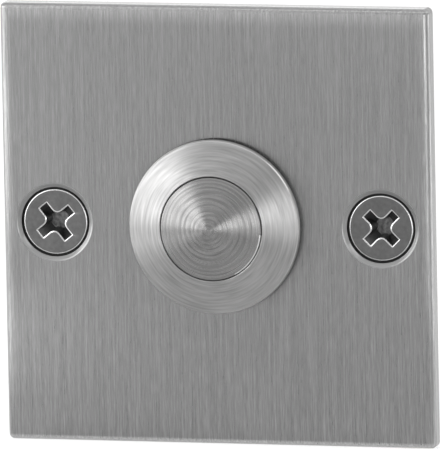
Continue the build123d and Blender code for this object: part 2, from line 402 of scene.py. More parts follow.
@dataclass(frozen=True)
class Mottled(Finish):
    """A surface with an even, slightly mottled finish.

    Attributes:
        grain: The width of the mottling.
        detail: The number of finer layers in it.
        metallic: 1 for metal, 0 for other materials.
    """

    grain: float
    detail: float = 4.0
    metallic: float = 1.0

    def lay_out(self, nodes: Shading) -> None:
        """Mottle the colour and the gloss."""
        mark = nodes.noise(nodes.stretched((self.grain,) * 3), self.detail)
        self.surface(nodes, mark, Metallic=self.metallic)


class PlainMetal(Mottled):
    """Metal with no direction in its finish."""


@dataclass(frozen=True)
class Moulded(Mottled):
    """Moulded plastic or rubber with a fine spark texture."""

    detail: float = 5.0
    metallic: float = 0.0


def grey(level: float) -> Colour:
    """Give a neutral colour."""
    return (level, level, level)


PLATE_STEEL = BrushedSteel(
    "brushed_plate_steel", Slot.PLATE, grey(0.39), roughness=0.26, contrast=0.40, relief=0.0012,
    spread=0.85, mark_width=0.10, mark_length=1.8,
)
SINK_STEELS = {
    side: TurnedSteel(
        f"sink_steel_{side.label}", Slot.PLATE, grey(0.41), roughness=0.32, contrast=0.12, relief=0.002,
        spread=0.8, ring_width=0.12, arc_turns=1.2, feed=0.3, feed_share=0.2, centre=side.place,
    )
    for side in Side
}
BEZEL_STEEL = TurnedSteel(
    "turned_bezel_steel", Slot.TURNED, (0.45, 0.448, 0.447), roughness=0.36, contrast=0.32, relief=0.002,
    spread=0.9, ring_width=0.14, arc_turns=2.2, feed=0.33, feed_share=0.06,
)
# Painted highlight: a smoother copy of the bezel steel, lightened on the rounded rim so it reads as a bright
# line
RIM_HIGHLIGHT_STEEL = TurnedSteel(
    "painted_highlight_rim_steel", Slot.TURNED, (0.64, 0.637, 0.635), roughness=0.30, contrast=0.12, relief=0.001,
    spread=0.7, ring_width=0.14, arc_turns=2.2, feed=0.33, feed_share=0.06,
)
CAP_STEEL = TurnedSteel(
    "turned_button_steel", Slot.TURNED, (0.335, 0.332, 0.331), roughness=0.28, contrast=0.40, relief=0.0016,
    spread=0.93, ring_width=0.13, arc_turns=1.2, feed=0.46, feed_share=0.16,
)

# Each plain finish: name, slot, colour, roughness, contrast, relief, grain
# Painted glint: a near-white copy of the button steel on an arc of the button's edge
PAINTED_GLINT = PlainMetal("painted_glint_button_edge", Slot.TURNED, grey(0.90), 0.24, 0.10, 0.001, 0.4)
# Painted shade: near-black steel standing in for the shade in the gap round each screw head and under the
# bezel's rim
GAP_SHADE = PlainMetal("painted_gap_shade", Slot.PLATE, grey(0.04), 0.5, 0.1, 0.002, 0.4)
SCREW_STEEL = PlainMetal("dark_screw_steel", Slot.SCREW, grey(0.195), 0.36, 0.16, 0.003, 0.5)
# Painted highlight: a smoother copy of the screw steel, lightened so the head's rounded edge and the recess's
# eased mouth read bright
SCREW_EDGE_HIGHLIGHT = PlainMetal("painted_highlight_screw_edge", Slot.SCREW, grey(0.80), 0.26, 0.05, 0.001, 0.5)
SCREW_RECESS = PlainMetal("dark_screw_recess", Slot.SCREW, grey(0.20), 0.42, 0.25, 0.006, 0.4)
SCREW_FOOT = PlainMetal("worn_screw_foot", Slot.SCREW, grey(0.18), 0.40, 0.70, 0.012, 0.4)
PLATED_STEEL = PlainMetal("bright_plated_steel", Slot.PLATED, (0.62, 0.61, 0.58), 0.26, 0.08, 0.002, 0.6)
SPRING_STEEL = PlainMetal("spring_wire_steel", Slot.SPRING, grey(0.5), 0.25, 0.06, 0.001, 0.4)
CONTACT_BRASS = PlainMetal("bright_contact_brass", Slot.BRASS, (0.78, 0.56, 0.25), 0.26, 0.10, 0.002, 0.8)
BASE_PLASTIC = Moulded("black_base_plastic", Slot.BASE, (0.022, 0.022, 0.024), 0.46, 0.15, 0.004, 0.12)
CARRIER_PLASTIC = Moulded("white_carrier_plastic", Slot.CARRIER, (0.78, 0.77, 0.73), 0.42, 0.03, 0.003, 0.12)
SEAL_RUBBER = Moulded("black_seal_rubber", Slot.SEAL, grey(0.03), 0.62, 0.15, 0.004, 0.15)

# The finishes of the pieces that have more than one, in the order of their faces' numbers
PLATE_FINISHES = (PLATE_STEEL, *SINK_STEELS.values(), GAP_SHADE)
SCREW_FINISHES = (SCREW_STEEL, SCREW_EDGE_HIGHLIGHT, SCREW_RECESS, SCREW_FOOT)
BEZEL_FINISHES = (BEZEL_STEEL, GAP_SHADE, RIM_HIGHLIGHT_STEEL)
CAP_FINISHES = (CAP_STEEL, PAINTED_GLINT)


# Modelling


@dataclass(frozen=True)
class Corner:
    """A corner of an outline that is turned about the Y axis.

    Attributes:
        radius: The distance from the axis.
        level: The place along Y.
        ease: How far from the corner its rounding starts.
    """

    radius: float
    level: float
    ease: float = 0.0


@dataclass(frozen=True)
class Band:
    """A band of faces round the Y axis.

    Attributes:
        inner: The radius outside which it lies.
        back: The level in front of which it lies.
        front: The level behind which it lies.
        arc: Where it starts and ends, in degrees clockwise from the top.
    """

    inner: float
    back: float
    front: float = -math.inf
    arc: tuple[float, float] = (0.0, 360.0)

    def dress(self, bm: BMesh, finish: int) -> None:
        """Dress the band's faces.

        Args:
            bm: The mesh.
            finish: The place of the finish in the piece's list.
        """
        start, end = self.arc
        for face in bm.faces:
            middle = face.calc_center_median()
            clock = math.degrees(math.atan2(middle.x, middle.z)) % 360
            outside = math.hypot(middle.x, middle.z) > self.inner
            if outside and self.front < middle.y < self.back and start <= clock <= end:
                face.material_index = finish


def node_box(node: str) -> tuple[Vector, Vector]:
    """Give a node's lowest and highest corners in millimetres."""
    low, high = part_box(node)
    return low / MM, high / MM


def facing_front(y: float) -> Matrix:
    """Give the placing of a flat shape that faces along Y at a level."""
    return Matrix.Translation((0, y, 0)) @ Matrix.Rotation(math.pi / 2, 4, "X")


def verts_of(made: Iterable[object]) -> list[BMVert]:
    """Give the vertices among what an operator has made."""
    return [item for item in made if isinstance(item, BMVert)]


def bevel(
    bm: BMesh, geom: Sequence[BMVert | BMEdge], affect: str, offset: float, segments: int, clamp: bool = True
) -> None:
    """Round vertices or edges.

    Args:
        bm: The mesh.
        geom: The vertices or edges.
        affect: Which of the two they are, in the operator's words.
        offset: How far from them the rounding starts.
        segments: The number of faces across it.
        clamp: Whether roundings that would overlap are held back.
    """
    bmesh.ops.bevel(
        bm, geom=geom, affect=affect, offset=offset, segments=segments, profile=0.5, material=-1,
        clamp_overlap=clamp,
    )


def trace(blank: BMesh, outline: Sequence[Corner], start: BMVert | None = None, closed: bool = False) -> None:
    """Draw a wire outline and round its corners.

    Args:
        blank: The mesh that the wire goes into.
        outline: The corners in order.
        start: A vertex that the wire goes on from.
        closed: Whether the last corner joins the first.
    """
    verts = [blank.verts.new((corner.radius, corner.level, 0)) for corner in outline]
    chain = verts + verts[:1] if closed else verts
    if start is not None:
        chain = [start] + chain
    for pair in zip(chain, chain[1:]):
        blank.edges.new(pair)
    for vert, corner in zip(verts, outline):
        if corner.ease:
            bevel(blank, [vert], "VERTICES", corner.ease, CORNER_STEPS)


def spin_blank(blank: BMesh, steps: int) -> None:
    """Spin a wire outline into a closed round shape with its normals outwards.

    Args:
        blank: The mesh of the wire.
        steps: The number of faces round the axis.
    """
    geom = blank.verts[:] + blank.edges[:]
    bmesh.ops.spin(blank, geom=geom, cent=(0, 0, 0), axis=AXIS, angle=FULL_TURN, steps=steps, use_merge=True)
    bmesh.ops.remove_doubles(blank, verts=blank.verts[:], dist=WELD)
    bmesh.ops.recalc_face_normals(blank, faces=blank.faces[:])


def join(bm: BMesh, part: BMesh) -> None:
    """Add a part to a mesh and free the part.

    Args:
        bm: The mesh.
        part: The part.
    """
    mesh = bpy.data.meshes.new("part")
    part.to_mesh(mesh)
    part.free()
    bm.from_mesh(mesh)
    bpy.data.meshes.remove(mesh)


def round_walls(
    bm: BMesh, path: Sequence[tuple[float, float]], finishes: Sequence[int], x: float = 0.0
) -> tuple[Loop, Loop]:
    """Draw the round walls of a hole along Y, loop by loop.

    Args:
        bm: The mesh.
        path: The radius and the level of each loop.
        finishes: The place of each wall's finish in the piece's list.
        x: The hole's centre along X.

    Returns:
        The first and the last loop.
    """
    known = set(bm.edges)
    radius, y = path[0]
    there = Matrix.Translation((x, 0, 0))
    bmesh.ops.create_circle(bm, segments=ROUND_STEPS, radius=radius, matrix=there @ facing_front(y))
    loops = [[edge for edge in bm.edges if edge not in known]]
    for (new_radius, new_y), finish in zip(path[1:], finishes):
        made = bmesh.ops.extrude_edge_only(bm, edges=loops[-1])["geom"]
        verts = verts_of(made)
        grow = Matrix.Diagonal((new_radius / radius, 1.0, new_radius / radius, 1.0))
        step = Matrix.Translation((0, new_y - y, 0))
        bmesh.ops.transform(bm, matrix=there @ step @ grow @ there.inverted(), verts=verts)
        loops.append([item for item in made if isinstance(item, BMEdge) and set(item.verts) <= set(verts)])
        for edge in loops[-1]:
            for face in edge.link_faces:
                face.material_index = finish
        radius, y = new_radius, new_y
    return loops[0], loops[-1]


def fill_flat(bm: BMesh, loops: Iterable[Loop]) -> None:
    """Fill the flat face between an outer loop and the loops of its holes.

    Args:
        bm: The mesh.
        loops: The loops.
    """
    edges = [edge for loop in loops for edge in loop]
    known = set(bm.faces)
    bmesh.ops.triangle_fill(bm, use_beauty=True, use_dissolve=False, edges=edges, normal=FRONT)
    for face in bm.faces:
        if face not in known:
            face.material_index = 0


def thread(root: float, crest: float, pitch: float, start: float, end: float, steps: int) -> BMesh:
    """Wind a screw thread about the Y axis in whole turns, running out at both ends.

    Args:
        root: The radius at the thread's foot.
        crest: The radius at its top.
        pitch: The advance for each turn.
        start: The level where it starts.
        end: The level before which it ends.
        steps: The number of faces for each turn.

    Returns:
        The thread.
    """
    blank = bmesh.new()
    half, flat = THREAD_FOOT * pitch, THREAD_TOP * pitch
    outline = ((root, -half), (crest, -flat), (crest, flat), (root, half))
    verts = [blank.verts.new((0, start + half + y, radius)) for radius, y in outline]
    edges = [blank.edges.new(pair) for pair in zip(verts, verts[1:] + verts[:1])]
    rise = (0, pitch / steps, 0)
    bmesh.ops.spin(
        blank, geom=verts + edges, cent=(0, 0, 0), axis=AXIS, dvec=rise, angle=FULL_TURN, steps=steps
    )
    turns = int((end - start) / pitch - 2 * half / pitch)
    first = blank.verts[:] + blank.edges[:] + blank.faces[:]
    for count in range(1, turns):
        copied = bmesh.ops.duplicate(blank, geom=first)["geom"]
        bmesh.ops.translate(blank, vec=(0, pitch * count, 0), verts=verts_of(copied))
    bmesh.ops.remove_doubles(blank, verts=blank.verts[:], dist=WELD)
    last = start + pitch * turns + 2 * half
    run_out = THREAD_RUN_OUT * pitch
    for vert in blank.verts:
        radius = math.hypot(vert.co.x, vert.co.z)
        share = min(1.0, (vert.co.y - start) / run_out, (last - vert.co.y) / run_out)
        scale = (root + (radius - root) * max(0.0, share)) / radius
        vert.co.x *= scale
        vert.co.z *= scale
    bmesh.ops.holes_fill(blank, edges=[edge for edge in blank.edges if edge.is_boundary], sides=len(outline))
    bmesh.ops.recalc_face_normals(blank, faces=blank.faces[:])
    return blank


def copy_of(node: str, ease: float) -> BMesh:
    """Copy a node's solid with its edges eased.

    Args:
        node: The node's name.
        ease: The width of the easing.

    Returns:
        The copy, in millimetres.
    """
    bm = bmesh.new()
    bm.from_mesh(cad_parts[node].data)
    bmesh.ops.scale(bm, vec=(1 / MM,) * 3, verts=bm.verts[:])
    bmesh.ops.remove_doubles(bm, verts=bm.verts[:], dist=WELD)
    bmesh.ops.dissolve_limit(bm, angle_limit=FLAT_ANGLE, verts=bm.verts[:], edges=bm.edges[:])
    edges = [edge for edge in bm.edges if edge.is_manifold and edge.calc_face_angle() > SHARP_ANGLE]
    bevel(bm, edges, "EDGES", ease, EASE_STEPS)
    return bm


def publish(bm: BMesh, name: str, finishes: Sequence[Finish], body: Body, nodes: Sequence[str]) -> Object:
    """Make a finished mesh a piece of the object.

    Args:
        bm: The mesh, in millimetres. It is freed.
        name: The piece's name.
        finishes: The finishes that dress it, in the order of its faces' numbers.
        body: The body that it rides on.
        nodes: The nodes that it stands for.

    Returns:
        The piece.
    """
    bmesh.ops.scale(bm, vec=(MM,) * 3, verts=bm.verts[:])
    mesh = bpy.data.meshes.new(name)
    bm.to_mesh(mesh)
    bm.free()
    mesh.shade_smooth()
    mesh.set_sharp_from_angle(angle=SHARP_ANGLE)
    for finish in finishes:
        mesh.materials.append(finish.material())
    piece = bpy.data.objects.new(name, mesh)
    bpy.context.scene.collection.objects.link(piece)
    piece.modifiers.new("even_normals", "WEIGHTED_NORMAL").keep_sharp = True
    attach(piece, body.value)
    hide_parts(*nodes)
    return piece


# The front


@dataclass
class FacePlate:
    """The plate: its face rolls off to the edges, and it has two countersinks and a bored middle.

    Attributes:
        corner: The radius of the corners.
        least_corner: The radius that the corners keep towards the face.
        corner_steps: The number of faces round a corner.
        edge: How far the round edge reaches into the face.
        edge_steps: The number of loops round the edge.
        roll: How far the roll-off reaches into the face from the sides, and from the top and bottom.
        roll_angle: The slope of the roll-off where it meets the round edge of the sides, in degrees.
        roll_steps: The number of loops across the roll-off.
        sink_margin: How far the countersink's rim reaches past the screw head.
        sink_ease: The easing of the countersink's rim.
        sink_curve: The steps of that easing, outwards and down, as shares of it.
        seat: The depth at which the screw head sits in the countersink.
        gap: The gap round the screw head.
        hole: The radius of a screw hole.
        bore: The radius of the barrel's hole.
        spot: The radius of the spot face behind.
        spot_depth: The depth of the spot face.
    """

    corner: float = 0.65
    least_corner: float = 0.065
    corner_steps: int = 6
    edge: float = 0.60
    edge_steps: int = 10
    roll: tuple[float, float] = (1.3, 2.4)
    roll_angle: float = 7.0
    roll_steps: int = 8
    sink_margin: float = 0.64
    sink_ease: float = 0.08
    sink_curve: tuple[tuple[float, float], ...] = ((2, 0), (1, 0), (0.3, 0.12), (-0.3, 0.42), (-1, 1))
    seat: float = 0.7
    gap: float = 0.24
    hole: float = 2.5
    bore: float = 8.1
    spot: float = 11.97
    spot_depth: float = 0.4

    def build(self) -> Object:
        """Model the plate and dress it.

        Returns:
            The piece.
        """
        low, high = node_box("face_plate")
        bm = bmesh.new()
        walls = [self.outside(bm, high.x, low.y, high.y)]
        walls += [self.sink(bm, side, low.y, high.y) for side in Side]
        walls.append(self.middle(bm, low.y, high.y))
        for loops in zip(*walls):
            fill_flat(bm, loops)
        bmesh.ops.recalc_face_normals(bm, faces=bm.faces[:])
        return publish(bm, "brushed_plate", PLATE_FINISHES, Body.MOUNTING, ["face_plate"])

    def outside(self, bm: BMesh, half: float, front: float, back: float) -> tuple[Loop, Loop]:
        """Skin the plate's walls, round edge and roll-off.

        Args:
            bm: The mesh.
            half: Half of the plate's side.
            front: The level of the face.
            back: The level of the wall side.

        Returns:
            The loops that the face and the wall side start from.
        """
        slope = math.radians(self.roll_angle)
        drop = math.tan(slope) * (self.roll[0] - self.edge) / 2
        radius = self.edge / (1 - math.sin(slope))
        shoulder = front + drop + radius * math.cos(slope)
        path = [(0.0, 0.0, back)]
        for step in range(self.edge_steps + 1):
            angle = (math.pi / 2 - slope) * step / self.edge_steps
            inset = radius * (1 - math.cos(angle))
            path.append((inset, inset, shoulder - radius * math.sin(angle)))
        for step in range(1, self.roll_steps + 1):
            share = step / self.roll_steps
            across, along = (self.edge + (reach - self.edge) * share for reach in self.roll)
            path.append((across, along, front + drop * (1 - share) ** 2))
        loops = []
        for across, along, y in path:
            corner = max(self.corner - across, self.least_corner)
            loops.append(self.square(bm, (half - across, half - along), corner, y))
        for first, second in zip(loops, loops[1:]):
            bmesh.ops.bridge_loops(bm, edges=first + second)
        return loops[-1], loops[0]

    def square(self, bm: BMesh, half: tuple[float, float], corner: float, y: float) -> Loop:
        """Add a four-sided loop with round corners that faces along Y.

        Args:
            bm: The mesh.
            half: Half of its width and half of its height.
            corner: The radius of its corners.
            y: The loop's level.

        Returns:
            The loop's edges.
        """
        known = set(bm.edges)
        place = facing_front(y) @ Matrix.Diagonal((*half, 1.0, 1.0))
        made = bmesh.ops.create_grid(bm, x_segments=1, y_segments=1, size=1.0, matrix=place)
        bevel(bm, made["verts"], "VERTICES", corner, self.corner_steps, clamp=False)
        faces = {face for edge in bm.edges if edge not in known for face in edge.link_faces}
        bmesh.ops.delete(bm, geom=list(faces), context="FACES_ONLY")
        return [edge for edge in bm.edges if edge not in known]

    def sink(self, bm: BMesh, side: Side, front: float, back: float) -> tuple[Loop, Loop]:
        """Draw a countersunk hole.

        Args:
            bm: The mesh.
            side: The side of the plate that it is on.
            front: The level of the face.
            back: The level of the wall side.

        Returns:
            The hole's loops in the face and in the wall side.
        """
        low, high = node_box(f"fixing_screw_{side.label}")
        head = (high.x - low.x) / 2
        rim = head + self.sink_margin
        cone = [(rim + out * self.sink_ease, front + down * self.sink_ease) for out, down in self.sink_curve]
        cone.append((head + self.gap, front + rim - head - self.gap))
        hidden = [
            (head + self.gap, front + self.seat),
            (head, front + self.seat),
            (self.hole, front + self.seat + head - self.hole),
            (self.hole, back),
        ]
        # The gap's hidden walls round the screw head take the near-black steel as painted shade
        dressed = (PLATE_STEEL, SINK_STEELS[side], GAP_SHADE)
        flat, steel, gap = (PLATE_FINISHES.index(finish) for finish in dressed)
        finishes = [flat] + [steel] * (len(cone) - 2) + [gap] * len(hidden)
        return round_walls(bm, cone + hidden, finishes, (low.x + high.x) / 2)

    def middle(self, bm: BMesh, front: float, back: float) -> tuple[Loop, Loop]:
        """Draw the barrel's hole and the spot face.

        Args:
            bm: The mesh.
            front: The level of the face.
            back: The level of the wall side.

        Returns:
            The hole's loops in the face and in the wall side.
        """
        floor = back - self.spot_depth
        path = ((self.bore, front), (self.bore, floor), (self.spot, floor), (self.spot, back))
        return round_walls(bm, path, [PLATE_FINISHES.index(PLATE_STEEL)] * 3)


@dataclass
class FixingScrew:
    """A countersunk wood screw with a cross recess.

    Attributes:
        side: The side of the plate that it fixes.
        land: The height of the head's straight edge.
        head_ease: The easing of the head's edge.
        cone_ease: The easing where the head's cone starts.
        face: How far the flat of the head keeps from its edge.
        core: The radius of the shank.
        shank_ease: The easing at the ends of the shank.
        crest: The radius of the thread.
        pitch: The pitch of the thread.
        thread_sink: How far the thread's foot lies inside the shank.
        thread_steps: The number of faces for each turn of the thread.
        tip: The length of the point.
        bare_tip: The length of the point that has no thread.
        span: The span of the recess.
        arm: The width of the recess's arms.
        lobe: The rounding between the arms.
        lobe_steps: The number of faces across that rounding.
        arm_ease: The rounding of the arms' outer corners.
        arm_steps: The number of faces across that rounding.
        arm_start: Where the ends of the arms start, as a share of the span.
        mouth_ease: The width of the easing of the recess's edge.
        mouth_drop: The depth of that easing.
        depth: The depth of the recess.
        foot_span: The span of the recess at its foot.
        draw: How far the recess's flutes draw in towards its foot, as a share.
    """

    side: Side
    land: float = 0.25
    head_ease: float = 0.17
    cone_ease: float = 0.17 / 3
    face: float = 0.3
    core: float = 1.4
    shank_ease: float = 0.4
    crest: float = 2.0
    pitch: float = 1.8
    thread_sink: float = 0.05
    thread_steps: int = 32
    tip: float = 4.0
    bare_tip: float = 0.4
    span: float = 4.6
    arm: float = 1.08
    lobe: float = 0.62
    lobe_steps: int = 5
    arm_ease: float = 0.1
    arm_steps: int = 2
    arm_start: float = 0.3
    mouth_ease: float = 0.14
    mouth_drop: float = 0.07
    depth: float = 2.0
    foot_span: float = 2.1
    draw: float = 0.78

    def build(self) -> Object:
        """Model the screw and dress it.

        Returns:
            The piece.
        """
        node = f"fixing_screw_{self.side.label}"
        low, high = node_box(node)
        head = (high.x - low.x) / 2
        bm = bmesh.new()
        trace(bm, self.outline(head, low.y, high.y))
        spin_blank(bm, ROUND_STEPS)
        # The head's rounded edge takes the lightened steel, a painted highlight
        rounding = Band(head - self.head_ease, low.y + self.head_ease)
        rounding.dress(bm, SCREW_FINISHES.index(SCREW_EDGE_HIGHLIGHT))
        self.recess(bm, low.y)
        fill_flat(bm, [[edge for edge in bm.edges if edge.is_boundary]])
        bmesh.ops.recalc_face_normals(bm, faces=bm.faces[:])
        self.wind(bm, low.y + self.land + head, high.y)
        turned = Matrix.Rotation(math.radians(-self.side.screw_turn), 4, "Y")
        placed = Matrix.Translation(((low.x + high.x) / 2, 0, 0)) @ turned
        bmesh.ops.transform(bm, matrix=placed, verts=bm.verts[:])
        return publish(bm, f"cross_screw_{self.side.label}", SCREW_FINISHES, Body.MOUNTING, [node])

    def outline(self, head: float, top: float, end: float) -> list[Corner]:
        """Draw up the head and the shank, from the flat of the head to the point.

        Args:
            head: The radius of the head.
            top: The level of the head's flat.
            end: The level of the point.

        Returns:
            The corners.
        """
        cone = top + self.land
        return [
            Corner(head - self.face, top),
            Corner(head, top, self.head_ease),
            Corner(head, cone, self.cone_ease),
            Corner(self.core, cone + head - self.core, self.shank_ease),
            Corner(self.core, end - self.tip, self.shank_ease),
            Corner(0, end),
        ]

    def recess(self, bm: BMesh, top: float) -> None:
        """Sink the cross recess: an eased mouth, walls that draw in, and a foot.

        Args:
            bm: The mesh.
            top: The level of the head's flat.
        """
        blank = bmesh.new()
        mouth = self.cross(blank, top)
        ring = bmesh.ops.inset_region(
            blank, faces=[mouth], use_boundary=True, use_even_offset=True, thickness=self.mouth_ease,
            depth=-self.mouth_drop,
        )["faces"]
        foot = bmesh.ops.extrude_discrete_faces(blank, faces=[mouth])["faces"][0]
        bmesh.ops.translate(blank, vec=AXIS * (self.depth - self.mouth_drop), verts=foot.verts[:])
        bmesh.ops.scale(blank, vec=(self.draw, 1, self.draw), verts=foot.verts[:])
        reach = self.arm_start * self.span * self.draw
        shrink = self.foot_span / self.span / self.draw
        wide = [vert for vert in foot.verts if abs(vert.co.x) > reach]
        tall = [vert for vert in foot.verts if abs(vert.co.z) > reach]
        bmesh.ops.scale(blank, vec=(shrink, 1, 1), verts=wide)
        bmesh.ops.scale(blank, vec=(1, 1, shrink), verts=tall)
        # The eased mouth of the recess takes the lightened steel, a painted highlight
        for faces, finish in ((blank.faces, SCREW_RECESS), (ring, SCREW_EDGE_HIGHLIGHT), ([foot], SCREW_FOOT)):
            for face in faces:
                face.material_index = SCREW_FINISHES.index(finish)
        join(bm, blank)

    def cross(self, blank: BMesh, top: float) -> BMFace:
        """Draw the flat outline of the recess's mouth.

        Args:
            blank: An empty mesh.
            top: The level of the head's flat.

        Returns:
            The face of the outline, to the front.
        """
        half = self.arm / 2 + self.mouth_ease
        made = bmesh.ops.create_grid(blank, x_segments=1, y_segments=1, size=half, matrix=facing_front(top))
        inner = made["verts"]
        for edge in blank.edges[:]:
            middle = (edge.verts[0].co + edge.verts[1].co) / 2
            way = Vector((middle.x, 0, middle.z)).normalized() * (self.span / 2 + self.mouth_ease - half)
            arm = bmesh.ops.extrude_edge_only(blank, edges=[edge])["geom"]
            bmesh.ops.translate(blank, vec=way, verts=verts_of(arm))
        bmesh.ops.dissolve_faces(blank, faces=blank.faces[:])
        outer = [vert for vert in blank.verts if vert not in inner]
        bevel(blank, inner, "VERTICES", self.lobe, self.lobe_steps, clamp=False)
        bevel(blank, outer, "VERTICES", self.arm_ease, self.arm_steps, clamp=False)
        mouth = next(iter(blank.faces))
        mouth.normal_update()
        if mouth.normal.dot(FRONT) < 0:
            mouth.normal_flip()
        return mouth

    def wind(self, bm: BMesh, start: float, end: float) -> None:
        """Wind the thread on the shank and draw it in with the point.

        Args:
            bm: The mesh.
            start: The level where the thread starts.
            end: The level of the point.
        """
        foot = self.core - self.thread_sink
        ridge = thread(foot, self.crest, self.pitch, start, end - self.bare_tip, self.thread_steps)
        for vert in ridge.verts:
            share = min(1.0, (end - vert.co.y) / self.tip)
            vert.co.x *= share
            vert.co.z *= share
        join(bm, ridge)


@dataclass
class BezelBody:
    """The turned bezel with its flange, threaded barrel, guide web and rear cavity.

    Attributes:
        bore: The radius of the button's bore.
        lip: The radius of the bore's mouth, close round the button.
        lip_ease: The rounding of the lip round the button.
        rim_height: The height of the bezel's rim above the plate.
        rim_ease: The rounding of the rim.
        joint: The height and the depth of the joint line under the rim.
        joint_ease: The rounding of the edge above the joint line.
        joint_slack: How far above the joint line its painted shade starts.
        groove: The outer radius of the seal's groove.
        groove_depth: The depth of the seal's groove.
        barrel: The radius of the barrel and of its thread's top.
        core: The radius at the thread's foot.
        shoulder: The level where the barrel narrows to the thread's foot.
        shoulder_ease: The easing of that shoulder.
        end_ease: The easing of the barrel's end, where the thread stops.
        cavity: The radius of the rear cavity.
        guide: The radius of the stem's guide.
        web: The levels of the guide web.
        pitch: The pitch of the thread.
        thread_gap: How far behind the nut the thread starts.
        thread_sink: How far the thread's foot lies inside the barrel.
        thread_steps: The number of faces for each turn of the thread.
    """

    bore: float = 6.0
    lip: float = 5.93
    lip_ease: float = 0.15
    rim_height: float = 1.4
    rim_ease: float = 0.26
    joint: tuple[float, float] = (0.7, 0.12)
    joint_ease: float = 0.06
    joint_slack: float = 0.01
    groove: float = 9.2
    groove_depth: float = 0.9
    barrel: float = 8.0
    core: float = 7.45
    shoulder: float = -0.7
    shoulder_ease: float = 0.2
    end_ease: float = 0.4
    cavity: float = 6.5
    guide: float = 2.05
    web: tuple[float, float] = (-0.22, 1.78)
    pitch: float = 1.5
    thread_gap: float = 0.05
    thread_sink: float = 0.02
    thread_steps: int = 72

    def build(self) -> Object:
        """Model the body and dress it.

        Returns:
            The piece.
        """
        low, high = node_box("bezel_body")
        face = node_box("face_plate")[0].y
        bm = bmesh.new()
        trace(bm, self.outline(high.x, low.y, face, high.y), closed=True)
        spin_blank(bm, FINE_STEPS)
        # Painted shade: the joint line under the rim is dressed near black for the shade beneath the rim
        height, depth = self.joint
        joint = Band(high.x - 2 * depth, face, front=face - height - self.joint_slack)
        joint.dress(bm, BEZEL_FINISHES.index(GAP_SHADE))
        # The rounded rim takes the lightened steel, a painted highlight
        rim = Band(high.x - self.rim_ease / 2, face - self.rim_height + self.rim_ease)
        rim.dress(bm, BEZEL_FINISHES.index(RIM_HIGHLIGHT_STEEL))
        foot = self.core - self.thread_sink
        start = node_box("mounting_nut")[1].y + self.thread_gap
        join(bm, thread(foot, self.barrel, self.pitch, start, high.y - self.end_ease, self.thread_steps))
        return publish(bm, "turned_bezel", BEZEL_FINISHES, Body.MOUNTING, ["bezel_body"])

    def outline(self, radius: float, lip_level: float, face: float, end: float) -> list[Corner]:
        """Draw up the body, from the lip over the rim to the barrel's end and back inside.

        Args:
            radius: The radius of the rim.
            lip_level: The level of the lip.
            face: The level of the plate's face.
            end: The level of the barrel's end.

        Returns:
            The corners.
        """
        height, depth = self.joint
        top = face - self.groove_depth
        return [
            Corner(self.lip, lip_level, self.lip_ease),
            Corner(radius, face - self.rim_height, self.rim_ease),
            Corner(radius, face - height, self.joint_ease),
            Corner(radius - depth, face - height),
            Corner(radius - depth, face),
            Corner(self.groove, face),
            Corner(self.groove, top),
            Corner(self.barrel, top),
            Corner(self.barrel, self.shoulder, self.shoulder_ease),
            Corner(self.core, self.shoulder),
            Corner(self.core, end, self.end_ease),
            Corner(self.cavity, end),
            Corner(self.cavity, self.web[1]),
            Corner(self.guide, self.web[1]),
            Corner(self.guide, self.web[0]),
            Corner(self.bore, self.web[0]),
        ]


